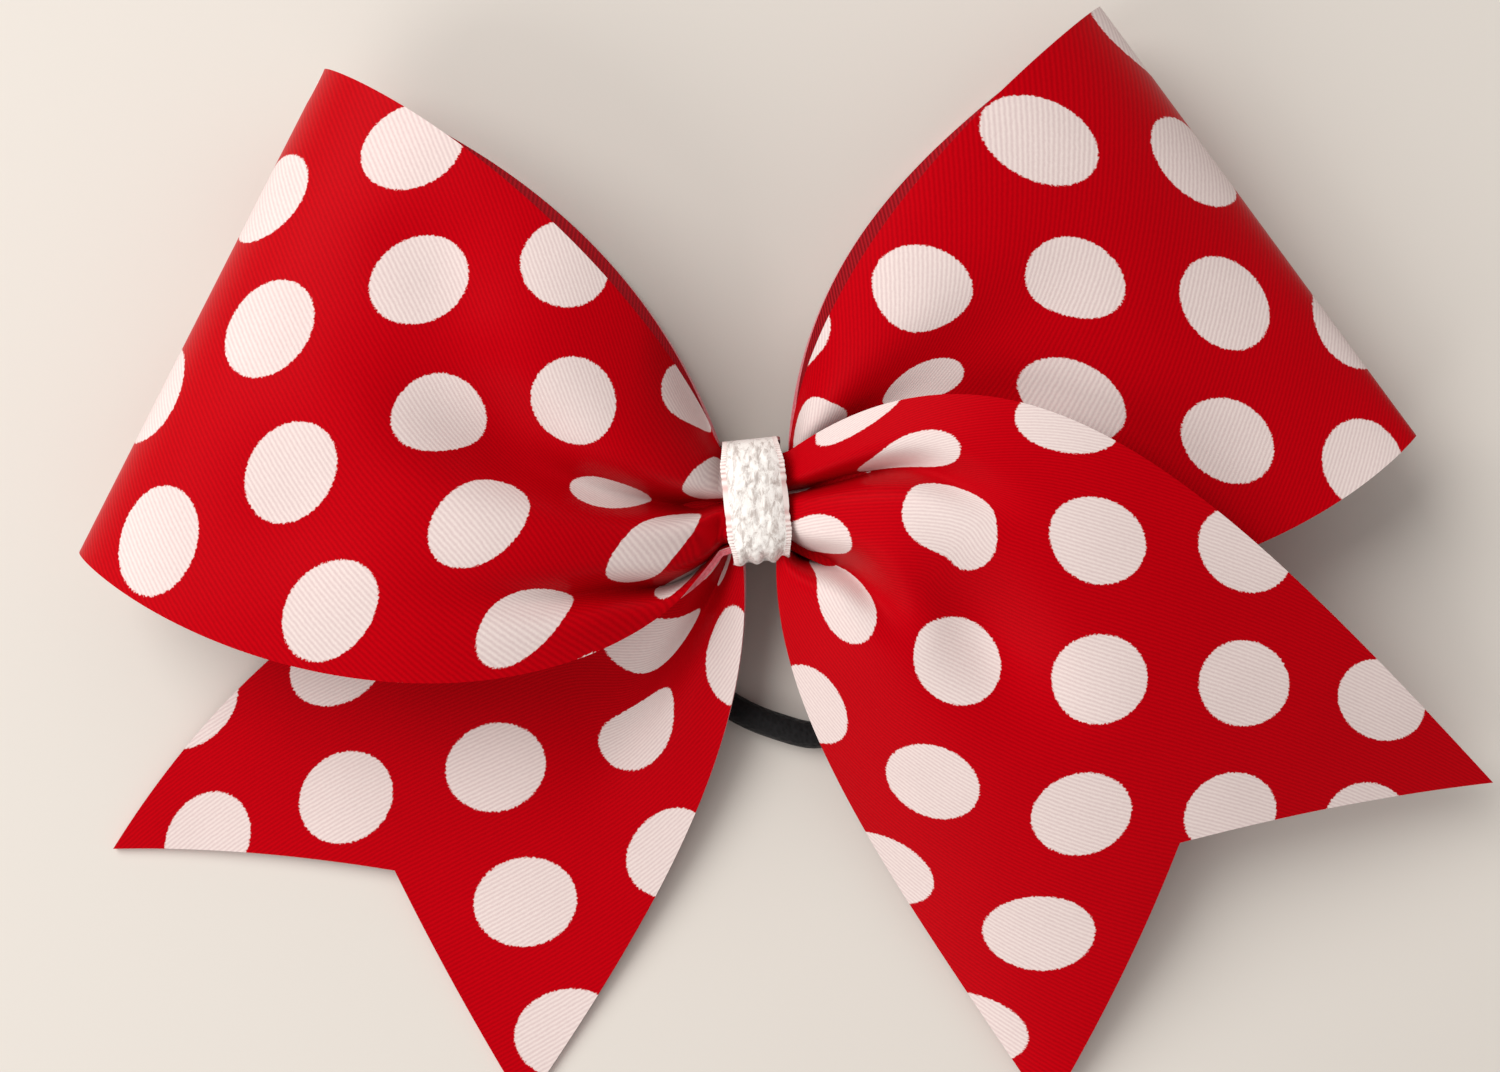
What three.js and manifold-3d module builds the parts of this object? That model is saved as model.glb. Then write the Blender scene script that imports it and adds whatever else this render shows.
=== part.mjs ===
// A cheer hair bow lying on its back: one wide two-ply ribbon folded into two loops and two tails,
// gathered at the middle by a cable tie, hidden under a narrow wrap, with a hair elastic behind.
// The origin is the centre of the knot's flat back, +X runs from the left loop to the right loop,
// +Y towards the tops of the loops, and +Z out of the bow's front.
import * as THREE from "three";
import { mergeVertices } from "three/addons/utils/BufferGeometryUtils.js";
import Module from "manifold-3d";

// ---- Driving dimensions, in millimetres and degrees ----
const clearance = 0.3; // left between pieces that touch
const printPly = 0.4; // printed satin face
const backingPly = 0.5; // ribbed grosgrain lining

const pleatRuns = 8; // upright runs of cloth in each gathered layer
const pleatPitch = 1.55; // from one run to the next
const gatherHeight = 3.0; // of each gathered layer
const gatherLength = 11.4; // along X, a little longer than the wrap is wide

const tieThickness = 1.0;
const tieWidth = 2.5;
const tieCorner = 1.2; // inner bend of the strap
const tieHead = { length: 4.3, width: 4.5, height: 2.3 };
const tieTailStub = 0.5; // of the cut end, past the head

const wrapRoom = 0.45; // round the tie, which the turned wrap needs
const wrapThickness = 0.6;
const wrapWidth = 9.5;
const wrapTurn = 6; // the wrap sits a little askew
const wrapEndGap = 1.2; // between the wrap's overlapped ends, where the glue is
const glueThickness = 0.6;

const elasticDiameter = 4.0;
const elasticWall = 0.4; // knitted cover
const elasticJoint = 0.6; // bead between the butted ends

const lobeStart = 7.2; // where loops and tails begin, from the knot's middle
const foldHeight = 15.4; // of a loop's folded edge above the table
const tableGap = 0.05; // under the lowest cloth
const rearPeek = 3.0; // how far a loop's rear panel shows past its front panel
const tailNotch = 0.15; // depth of the tails' V cut, as a share of their length
const pleatFade = 0.3; // share of a lobe's length over which its pleats flatten
const pleatDepth = 0.5;
const pleatWaves = 2;

// Edge handles are [share of reach along the bearing, share of width to its left]. Heights are in mm.
const leftLoop = {
  reach: 82.4, bearing: 161.1, width: 76.4, side: -1,
  top: [[0.25, -0.27], [0.61, -0.45], [0.93, -0.5]],
  bottom: [[0.13, 0.49], [0.64, 0.65], [1.07, 0.5]],
  frontFullness: [35, 35], rearLayer: 0, frontLayer: 2,
};
const rightLoop = {
  reach: 81.0, bearing: 29.0, width: 75.3, side: 1,
  top: [[0.26, 0.3], [0.58, 0.41], [0.94, 0.5]],
  bottom: [[0.16, -0.37], [0.64, -0.62], [1.06, -0.5]],
  frontFullness: [35, 12], rearLayer: 0, frontLayer: 1,
};
const leftTail = {
  reach: 95.3, bearing: -132.6, width: 71.6, side: -1, layer: 1, drape: 1,
  outer: [[0.18, -0.31, 11.5], [0.51, -0.62, 5], [1.07, -0.49, 0.8]],
  inner: [[0.21, 0.12, 10.5], [0.54, 0.39, 1], [0.93, 0.49, 0.8]],
};
const rightTail = {
  reach: 98.9, bearing: -41.1, width: 80.0, side: 1, layer: 2, drape: 2.5,
  outer: [[0.12, 0.5, 37], [0.43, 0.53, 34], [1.08, 0.49, 9]],
  inner: [[0.2, -0.11, 15], [0.52, -0.35, 1], [0.92, -0.49, 3]],
};

// Grid of each ply: rows along the ribbon, columns across it.
const loopRows = 22;
const tailRows = 12;
const columns = 10;

// ---- Heights of the knot's stack, from the table up ----
const elasticRadius = elasticDiameter / 2;
const tieBack = wrapThickness + wrapEndGap + wrapThickness + clearance; // strap's outer back face
const tunnelHeight = tieBack + tieThickness + clearance + elasticRadius; // elastic's middle line
const gatherBase = tunnelHeight + elasticRadius + clearance;
const layerStep = gatherHeight + clearance;
const layerMiddle = (layer) => gatherBase + layer * layerStep + gatherHeight / 2;
const gatherTop = layerMiddle(2) + gatherHeight / 2;
const clothThickness = printPly + clearance + backingPly;
const gatherCloth = printPly + backingPly;
const gatherHalfWidth = ((pleatRuns - 1) * pleatPitch + gatherCloth) / 2;
const tieInnerHalf = gatherHalfWidth + 0.6;
const tieOuterHalf = tieInnerHalf + tieThickness;
const tieInnerTop = gatherTop + clearance;
const tieOuterTop = tieInnerTop + tieThickness;
const wrapHalf = tieOuterHalf + wrapRoom + wrapThickness / 2; // to the wrap's mid-thickness
const wrapTop = tieOuterTop + wrapRoom + wrapThickness / 2;
const wrapCorner = tieCorner + tieThickness + wrapRoom + wrapThickness / 2;

// Offsets of the two plies from the ribbon's middle surface, positive on the printed side.
const printSpan = [clothThickness / 2 - printPly, clothThickness / 2];
const backingSpan = [-clothThickness / 2, backingPly - clothThickness / 2];

// ---- Materials ----
const finish = (color, roughness) => new THREE.MeshStandardMaterial({ color, roughness, metalness: 0 });
const satin = () => finish(0xc40018, 0.45);
const grosgrain = () => finish(0xb00014, 0.75);
const velvet = () => finish(0xf1eeea, 0.5);
const nylon = () => finish(0xe9e6dc, 0.4);
const hotGlue = () => finish(0xefe8d2, 0.35);
const knit = () => finish(0x101012, 0.9);
const rubber = () => finish(0x2a2622, 0.8);

// ---- Shape helpers ----
const toRadians = THREE.MathUtils.degToRad;
const mix = THREE.MathUtils.lerp;
const ease = (x, from, to) => THREE.MathUtils.smoothstep(x, from, to);

// Six times the signed volume of a closed indexed mesh, positive when its faces point out.
function signedVolume(positions, faces) {
  const [a, b, c] = [new THREE.Vector3(), new THREE.Vector3(), new THREE.Vector3()];
  let sum = 0;
  for (let i = 0; i < faces.length; i += 3) {
    a.fromArray(positions, faces[i] * 3);
    b.fromArray(positions, faces[i + 1] * 3);
    c.fromArray(positions, faces[i + 2] * 3);
    sum += a.dot(b.cross(c));
  }
  return sum;
}

function closedGeometry(positions, faces) {
  const turned = signedVolume(positions, faces) < 0 ? faces.slice().reverse() : faces;
  const geometry = new THREE.BufferGeometry();
  geometry.setAttribute("position", new THREE.Float32BufferAttribute(positions, 3));
  geometry.setIndex(turned);
  geometry.computeVertexNormals();
  return geometry;
}

// The surface's unit normal at (u, v), both from 0 to 1.
function normalAt(surface, u, v) {
  const step = 0.004;
  const [u0, u1] = [Math.max(0, u - step), Math.min(1, u + step)];
  const [v0, v1] = [Math.max(0, v - step), Math.min(1, v + step)];
  const along = surface(u1, v).sub(surface(u0, v));
  const across = surface(u, v1).sub(surface(u, v0));
  return along.cross(across).normalize();
}

// A ply: the layer of cloth between two offsets from a surface.
function plyGeometry(surface, rows, cols, [low, high], facing) {
  const positions = [];
  const faces = [];
  const perLayer = (rows + 1) * (cols + 1);
  for (const offset of [low, high]) {
    for (let i = 0; i <= rows; i++) {
      for (let j = 0; j <= cols; j++) {
        const normal = normalAt(surface, i / rows, j / cols);
        const point = surface(i / rows, j / cols).addScaledVector(normal, offset * facing);
        positions.push(...point.toArray());
      }
    }
  }
  const at = (layer, i, j) => layer * perLayer + i * (cols + 1) + j;
  const quad = (a, b, c, d) => faces.push(a, b, c, a, c, d);
  for (let i = 0; i < rows; i++) {
    for (let j = 0; j < cols; j++) {
      quad(at(1, i, j), at(1, i + 1, j), at(1, i + 1, j + 1), at(1, i, j + 1));
      quad(at(0, i, j), at(0, i, j + 1), at(0, i + 1, j + 1), at(0, i + 1, j));
    }
    quad(at(0, i, 0), at(0, i + 1, 0), at(1, i + 1, 0), at(1, i, 0));
    quad(at(0, i + 1, cols), at(0, i, cols), at(1, i, cols), at(1, i + 1, cols));
  }
  for (let j = 0; j < cols; j++) {
    quad(at(0, 0, j + 1), at(0, 0, j), at(1, 0, j), at(1, 0, j + 1));
    quad(at(0, rows, j), at(0, rows, j + 1), at(1, rows, j + 1), at(1, rows, j));
  }
  return closedGeometry(positions, faces);
}

// A point a share of the reach along a lobe's bearing and a share of its width to the left.
function place(lobe, [forward, sideways, height = 0]) {
  const angle = toRadians(lobe.bearing);
  const [f, s] = [forward * lobe.reach, sideways * lobe.width];
  return new THREE.Vector3(
    f * Math.cos(angle) - s * Math.sin(angle),
    f * Math.sin(angle) + s * Math.cos(angle),
    height,
  );
}

// One long edge of a lobe, from the gathered end beside the knot to its far end.
function edgeCurve(lobe, handles, startY, startHeight) {
  const start = new THREE.Vector3(lobe.side * lobeStart, startY, startHeight);
  return new THREE.CubicBezierCurve3(start, ...handles.map((h) => place(lobe, h)));
}

const pleat = (share, across) =>
  pleatDepth * (1 - ease(share, 0, pleatFade)) * Math.cos(2 * Math.PI * pleatWaves * across);

// ---- Loops ----
const rearPower = 1.2; // the rear panel leaves the knot more slowly than the front
const lowestShare = rearPower / (rearPower + 0.5); // where a rear panel meets the table
const crown = 0.12; // how much lower a front panel is at its edges

// A loop's surface: along runs from the knot over the front, round the fold and back along the rear.
function loopSurface(loop) {
  const top = edgeCurve(loop, loop.top, gatherHalfWidth, 0);
  const bottom = edgeCurve(loop, loop.bottom, -gatherHalfWidth, 0);
  const knotMiddle = (layerMiddle(loop.rearLayer) + layerMiddle(loop.frontLayer)) / 2;
  const knotHalf = (layerMiddle(loop.frontLayer) - layerMiddle(loop.rearLayer)) / 2;
  const restHeight = tableGap + clothThickness / 2;
  const rearFullness = (foldHeight - restHeight - knotHalf * (1 - lowestShare))
    / (lowestShare ** rearPower * Math.sqrt(1 - lowestShare));
  const topPeek = place({ ...loop, reach: 0, width: 1 }, [0, loop.side * rearPeek]);

  // signed runs from 1 on the front at the knot, through 0 at the fold, to -1 on the rear.
  function point(signed, across) {
    const share = 1 - signed * signed;
    const middle = mix(knotMiddle, foldHeight, ease(share, 0, 0.5));
    const pinch = knotHalf * (1 - share);
    const spot = top.getPoint(share).lerp(bottom.getPoint(share), across);
    if (signed >= 0) {
      const fullness = mix(...loop.frontFullness, ease(across, 0, 1));
      const crowned = 1 - crown * (2 * across - 1) ** 2;
      spot.z = middle + pinch + fullness * crowned * share * signed + pleat(share, across);
    } else {
      spot.z = middle - pinch + rearFullness * share ** rearPower * signed + pleat(share, across);
      spot.addScaledVector(topPeek, Math.sin(Math.PI * share) * (1 - across));
    }
    return spot;
  }

  // Rows lie at even steps along the ribbon's middle line.
  const samples = 400;
  const lengths = [0];
  for (let i = 1; i <= samples; i++) {
    const [a, b] = [i - 1, i].map((k) => point(1 - (2 * k) / samples, 0.5));
    lengths.push(lengths[i - 1] + a.distanceTo(b));
  }
  const total = lengths[samples];
  return (along, across) => {
    const wanted = Math.min(along, 1) * total;
    const k = Math.max(1, lengths.findIndex((length) => length >= wanted - 1e-9));
    const within = (wanted - lengths[k - 1]) / (lengths[k] - lengths[k - 1]);
    return point(1 - (2 * (k - 1 + within)) / samples, across);
  };
}

// ---- Tails ----
function tailSurface(tail) {
  const knotHeight = layerMiddle(tail.layer);
  const outer = edgeCurve(tail, tail.outer, gatherHalfWidth, knotHeight);
  const inner = edgeCurve(tail, tail.inner, -gatherHalfWidth, knotHeight);
  return (along, across) => {
    const share = along * (1 - tailNotch * (1 - Math.abs(2 * across - 1)));
    const [a, b] = [outer.getPoint(share), inner.getPoint(share)];
    const point = a.clone().lerp(b, across);
    point.z = mix(b.z, a.z, 1 - across ** tail.drape) + pleat(share, across);
    return point;
  };
}

// ---- Strips of constant thickness in the YZ plane, extruded along X ----
function stripShape(line, thickness) {
  const sides = [[], []];
  line.forEach((p, i) => {
    const before = line[Math.max(0, i - 1)];
    const after = line[Math.min(line.length - 1, i + 1)];
    const t = after.clone().sub(before).normalize();
    const n = new THREE.Vector2(-t.y, t.x).multiplyScalar(thickness / 2);
    sides[0].push(p.clone().add(n));
    sides[1].push(p.clone().sub(n));
  });
  return new THREE.Shape([...sides[0], ...sides[1].reverse()]);
}

const alongX = new THREE.Matrix4().makeBasis(
  new THREE.Vector3(0, 1, 0), new THREE.Vector3(0, 0, 1), new THREE.Vector3(1, 0, 0),
);
function extrudeAlongX(shape, length) {
  const geometry = new THREE.ExtrudeGeometry(shape, { depth: length, bevelEnabled: false });
  return geometry.translate(0, 0, -length / 2).applyMatrix4(alongX);
}

// Points of an arc, first and last included, with angles in degrees.
function arc(cx, cy, radius, from, to, steps) {
  return Array.from({ length: steps + 1 }, (_, i) => {
    const angle = toRadians(mix(from, to, i / steps));
    return new THREE.Vector2(cx + radius * Math.cos(angle), cy + radius * Math.sin(angle));
  });
}

// Cloth packed into upright pleats: runs joined by half-round bends, high and low by turns.
function gatherGeometry(layer) {
  const bend = pleatPitch / 2;
  const middle = layerMiddle(layer);
  const reach = (gatherHeight - gatherCloth) / 2 - bend; // from the middle to each bend's centre
  const first = -((pleatRuns - 1) / 2) * pleatPitch;
  const line = [new THREE.Vector2(first, middle - reach - bend)];
  for (let run = 0; run < pleatRuns - 1; run++) {
    const centre = first + (run + 0.5) * pleatPitch;
    const high = run % 2 === 0;
    line.push(...arc(centre, middle + (high ? reach : -reach), bend, 180, high ? 0 : 360, 6));
  }
  line.push(new THREE.Vector2(-first, middle - reach * 0.5));
  line.push(new THREE.Vector2(-first, middle - reach - bend));
  return extrudeAlongX(stripShape(line, gatherCloth), gatherLength);
}

// The wrap starts under itself at the back, goes once round the knot and ends over its start.
function wrapGeometry() {
  const flat = wrapHalf - wrapCorner; // half the straight stretch at front and back
  const backLine = wrapThickness / 2;
  const innerLine = backLine + wrapThickness + wrapEndGap;
  const innerEnd = -0.9;
  const line = [
    new THREE.Vector2(innerEnd, innerLine),
    ...arc(-flat, innerLine + wrapCorner, wrapCorner, -90, -180, 6),
    ...arc(-flat, wrapTop - wrapCorner, wrapCorner, 180, 90, 6),
    ...arc(flat, wrapTop - wrapCorner, wrapCorner, 90, 0, 6),
    ...arc(flat, backLine + wrapCorner, wrapCorner, 0, -90, 6),
    new THREE.Vector2(-flat, backLine),
  ];
  return extrudeAlongX(stripShape(line, wrapThickness), wrapWidth);
}

// A rounded rectangle, anticlockwise, from -half to half and from low to high.
function roundedLoop(half, low, high, radius) {
  return [
    ...arc(-half + radius, low + radius, radius, 180, 270, 4),
    ...arc(half - radius, low + radius, radius, 270, 360, 4),
    ...arc(half - radius, high - radius, radius, 0, 90, 4),
    ...arc(-half + radius, high - radius, radius, 90, 180, 4),
  ];
}

function boxAt(sizeX, sizeY, sizeZ, y, z) {
  return new THREE.BoxGeometry(sizeX, sizeY, sizeZ).translate(0, y, z);
}

// Joins closed geometries into one.
const manifold = await Module();
manifold.setup();
function joined(...geometries) {
  const solids = geometries.map((geometry) => {
    const bare = (geometry.index ? geometry.toNonIndexed() : geometry.clone());
    bare.deleteAttribute("normal");
    bare.deleteAttribute("uv");
    const merged = mergeVertices(bare);
    return new manifold.Manifold(new manifold.Mesh({
      numProp: 3,
      vertProperties: merged.attributes.position.array,
      triVerts: new Uint32Array(merged.index.array),
    }));
  });
  const mesh = solids.reduce((a, b) => a.add(b)).getMesh();
  return closedGeometry(Array.from(mesh.vertProperties), Array.from(mesh.triVerts));
}

// A small nylon tie: strap round the gathers and the elastic, and its head at the back.
function tieGeometry() {
  const strap = new THREE.Shape(
    roundedLoop(tieOuterHalf, tieBack, tieOuterTop, tieCorner + tieThickness),
  );
  strap.holes.push(new THREE.Path(
    roundedLoop(tieInnerHalf, tieBack + tieThickness, tieInnerTop, tieCorner),
  ));
  const headTop = tieBack + tieThickness / 2; // sunk half the strap's thickness into it
  const headMiddle = headTop - tieHead.height / 2;
  const headNear = 0.3;
  const head = boxAt(
    tieHead.width, tieHead.length, tieHead.height, headNear + tieHead.length / 2, headMiddle,
  );
  const stub = boxAt(
    tieWidth, tieTailStub + 0.4, tieThickness, headNear + (0.4 - tieTailStub) / 2, headMiddle - 0.2,
  );
  return joined(extrudeAlongX(strap, tieWidth), head, stub);
}

// ---- Hair elastic ----
// Its middle line: through the tunnel behind the gathers, then round in a flat loop on the table.
const restLine = elasticRadius + tableGap;
const elasticPoints = [
  [elasticJoint, 0, tunnelHeight], [4, 0, tunnelHeight], [7.5, -0.4, tunnelHeight - 0.2],
  [12, -2.6, 4.4], [16.4, -6.8, 2.6], [18.8, -12.5, restLine], [19, -19, restLine],
  [17.6, -26, restLine], [14.5, -31.6, restLine], [9.3, -34.3, restLine], [3, -33, restLine],
  [-3, -30.4, restLine], [-9, -26, restLine], [-13, -20, restLine], [-14.8, -12.8, restLine],
  [-13.6, -7, 2.6], [-10.6, -2.6, 4.4], [-7, -0.4, tunnelHeight - 0.2], [-4, 0, tunnelHeight],
  [-elasticJoint, 0, tunnelHeight],
];
const elasticSteps = 44;
const elasticSides = 8;

function ringShape(outer, inner) {
  const circle = (radius) => arc(0, 0, radius, 0, 360, elasticSides).slice(0, -1);
  const shape = new THREE.Shape(circle(outer));
  if (inner > 0) shape.holes.push(new THREE.Path(circle(inner)));
  return shape;
}

function tubeGeometry(outer, inner) {
  const line = new THREE.CatmullRomCurve3(elasticPoints.map((p) => new THREE.Vector3(...p)));
  return new THREE.ExtrudeGeometry(ringShape(outer, inner), {
    extrudePath: line, steps: elasticSteps, bevelEnabled: false,
  });
}

// ---- Assembly ----
const bow = new THREE.Group();
function add(parent, name, geometry, material) {
  const mesh = new THREE.Mesh(geometry, material);
  mesh.name = name;
  parent.add(mesh);
}

function addRibbon(name, surface, rows, facing) {
  const lobe = new THREE.Group();
  add(lobe, `${name}_print`, plyGeometry(surface, rows, columns, printSpan, facing), satin());
  add(lobe, `${name}_backing`, plyGeometry(surface, rows, columns, backingSpan, facing), grosgrain());
  bow.add(lobe);
}

// The print faces out of the loops and up on the tails. Across runs from each lobe's upper edge to
// its lower edge, so a surface's normal points up on the left of the knot and down on the right.
addRibbon("left_loop", loopSurface(leftLoop), loopRows, -leftLoop.side);
addRibbon("right_loop", loopSurface(rightLoop), loopRows, -rightLoop.side);
addRibbon("left_tail", tailSurface(leftTail), tailRows, -leftTail.side);
addRibbon("right_tail", tailSurface(rightTail), tailRows, -rightTail.side);

const knot = new THREE.Group();
["gather_rear", "gather_middle", "gather_front"].forEach((name, layer) => {
  add(knot, name, gatherGeometry(layer), satin());
});
add(knot, "cable_tie", tieGeometry(), nylon());
bow.add(knot);

const wrap = new THREE.Group();
wrap.rotation.z = toRadians(wrapTurn);
const glueMiddle = wrapThickness + wrapEndGap / 2;
add(wrap, "centre_wrap", wrapGeometry(), velvet());
add(wrap, "wrap_glue", boxAt(wrapWidth - 1.5, 4.2, glueThickness, -3.2, glueMiddle), hotGlue());
bow.add(wrap);

const elastic = new THREE.Group();
const coreRadius = elasticRadius - elasticWall - clearance;
add(elastic, "elastic_cover", tubeGeometry(elasticRadius, elasticRadius - elasticWall), knit());
add(elastic, "elastic_core", tubeGeometry(coreRadius, 0), rubber());
const bead = new THREE.CylinderGeometry(elasticRadius - 0.2, elasticRadius - 0.2, elasticJoint, 12);
bead.rotateZ(Math.PI / 2).translate(0, 0, tunnelHeight);
add(elastic, "elastic_joint", bead, hotGlue());
bow.add(elastic);

export default bow;
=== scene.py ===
# %% [markdown]
# A cheer hair bow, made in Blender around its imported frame
#
# The bow is one long ribbon, 3 in wide, of printed satin fused to a ribbed grosgrain lining.
# It is folded into two loops and two tails, gathered in the middle, and held by a velvet wrap.
# A black hair elastic runs behind the knot. Every length here is in millimetres until it
# reaches a mesh, because ribbon is thought of in millimetres; MM turns it into metres.

# %% Load the frame
import math
from functools import partial

import bpy
import numpy as np
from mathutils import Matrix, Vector


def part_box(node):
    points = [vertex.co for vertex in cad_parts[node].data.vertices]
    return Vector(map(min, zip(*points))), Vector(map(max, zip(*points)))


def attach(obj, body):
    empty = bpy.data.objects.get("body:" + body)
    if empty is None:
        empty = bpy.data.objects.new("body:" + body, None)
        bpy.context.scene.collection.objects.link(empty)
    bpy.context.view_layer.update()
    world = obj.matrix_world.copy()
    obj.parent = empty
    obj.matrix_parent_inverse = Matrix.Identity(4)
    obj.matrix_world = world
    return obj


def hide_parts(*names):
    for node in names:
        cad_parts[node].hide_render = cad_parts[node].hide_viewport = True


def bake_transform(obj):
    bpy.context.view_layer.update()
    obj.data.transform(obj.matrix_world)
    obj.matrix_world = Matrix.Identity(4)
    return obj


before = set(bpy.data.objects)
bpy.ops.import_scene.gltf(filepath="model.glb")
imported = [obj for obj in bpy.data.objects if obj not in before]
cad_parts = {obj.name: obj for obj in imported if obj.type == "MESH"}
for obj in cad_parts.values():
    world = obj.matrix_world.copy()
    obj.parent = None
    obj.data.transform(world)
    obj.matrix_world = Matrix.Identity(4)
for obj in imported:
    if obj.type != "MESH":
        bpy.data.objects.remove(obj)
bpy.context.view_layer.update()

MM = 0.001

# %% [markdown]
# The camera looks straight down, as at a bow laid on a table. It could be orthographic, but the
# loops stand 30 mm tall and a near lens makes them a little larger than the tails, so a
# perspective camera 360 mm up is used.

# %% Camera
CAMERA_HEIGHT = 360.0
VIEW_WIDTH = 222.0  # of the table, across the picture
SENSOR_WIDTH = 36.0
CAMERA_X, CAMERA_Y = -0.84, -5.06

camera_data = bpy.data.cameras.new("camera")
camera_data.sensor_width = SENSOR_WIDTH
camera_data.lens = SENSOR_WIDTH * CAMERA_HEIGHT / VIEW_WIDTH
camera_data.clip_start, camera_data.clip_end = 0.01, 10.0
camera = bpy.data.objects.new("camera", camera_data)
camera.location = (CAMERA_X * MM, CAMERA_Y * MM, CAMERA_HEIGHT * MM)
bpy.context.scene.collection.objects.link(camera)
bpy.context.scene.camera = camera
print("lens in mm:", round(camera_data.lens, 1))

# %% [markdown]
# Materials are small node graphs. One function turns an sRGB hex value into the linear colour
# that nodes expect, and one adds a node with its settings and links, so that each material
# below reads as a list of what it is made of.

# %% Colour and node helpers
def linear(hex_value):
    """An sRGB hex value such as "C2000E" as linear RGBA."""
    channels = [int(hex_value[i : i + 2], 16) / 255 for i in (0, 2, 4)]
    return (*[c / 12.92 if c <= 0.04045 else ((c + 0.055) / 1.055) ** 2.4 for c in channels], 1.0)


def node(material, kind, settings=None, **links):
    """Adds a node. A link is another node, (node, output name), or a plain value for that input."""
    made = material.node_tree.nodes.new(kind)
    for name, value in (settings or {}).items():
        setattr(made, name, value)
    for name, value in links.items():
        key = int(name[1:]) if name[0] == "i" and name[1:].isdigit() else name.replace("_", " ")
        socket = made.inputs[key]
        if isinstance(value, bpy.types.Node):
            material.node_tree.links.new(value.outputs[0], socket)
        elif isinstance(value, tuple) and isinstance(value[0], bpy.types.Node):
            material.node_tree.links.new(value[0].outputs[value[1]], socket)
        else:
            socket.default_value = value
    return made


def new_material(name, **shader):
    """A material with one Principled shader, whose inputs are given by name."""
    material = bpy.data.materials.new(name)
    material.use_nodes = True
    material.node_tree.nodes.clear()
    principled = node(material, "ShaderNodeBsdfPrincipled", **shader)
    node(material, "ShaderNodeOutputMaterial", Surface=principled)
    return material, principled


def connect(material, source, target, socket):
    """Links a node, or (node, output name), to a shader's input."""
    output = source[0].outputs[source[1]] if isinstance(source, tuple) else source.outputs[0]
    material.node_tree.links.new(output, target.inputs[socket])


def wave_scale(pitch):
    """The Wave texture's scale for bands that are pitch mm apart, on a measure in metres."""
    return 2 * math.pi / (20 * pitch * MM)


# %% [markdown]
# Printed satin is woven polyester: long floats of thread in a fine diagonal twill give a soft
# sheen. The print is large white dots, 14 mm across, in rows at 45 degrees to the ribbon. The
# dots could be painted, but a formula on the ribbon's own flat measure keeps them round and
# lets every fold bend them. Each sheet carries that measure as a UV map, in metres.

# %% Printed satin
DOT_DIAMETER = 14.0
DOT_PITCH = 21.8  # from a dot to its nearest neighbour
DOT_ANGLE = 45.0  # degrees from the ribbon's length to a row of dots
TWILL_PITCH = 0.62  # the real 0.5 mm, drawn a little coarser so that it shows
TWILL_ANGLE = -62.0  # degrees from straight across the ribbon
THREADS_PER_MM = 1.9
INK_STEPS_PER_MM = 2.6  # uneven places along a dot's edge
DYE_PATCHES_PER_MM = 0.07
INK_WANDER, INK_BLUR = 0.007, 0.005  # of a dot's edge, as shares of the dots' pitch
# RED and DOT_WHITE are the satin's colours where lit, and RED_SHADE and DOT_SHADE the same cloth in
# shade.
RED, RED_SHADE = "C2000E", "9E000A"
DOT_WHITE, DOT_SHADE = "EDE0DC", "D0BDBD"
print("red satin in linear light:", [round(c, 3) for c in linear(RED)[:3]])


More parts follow.
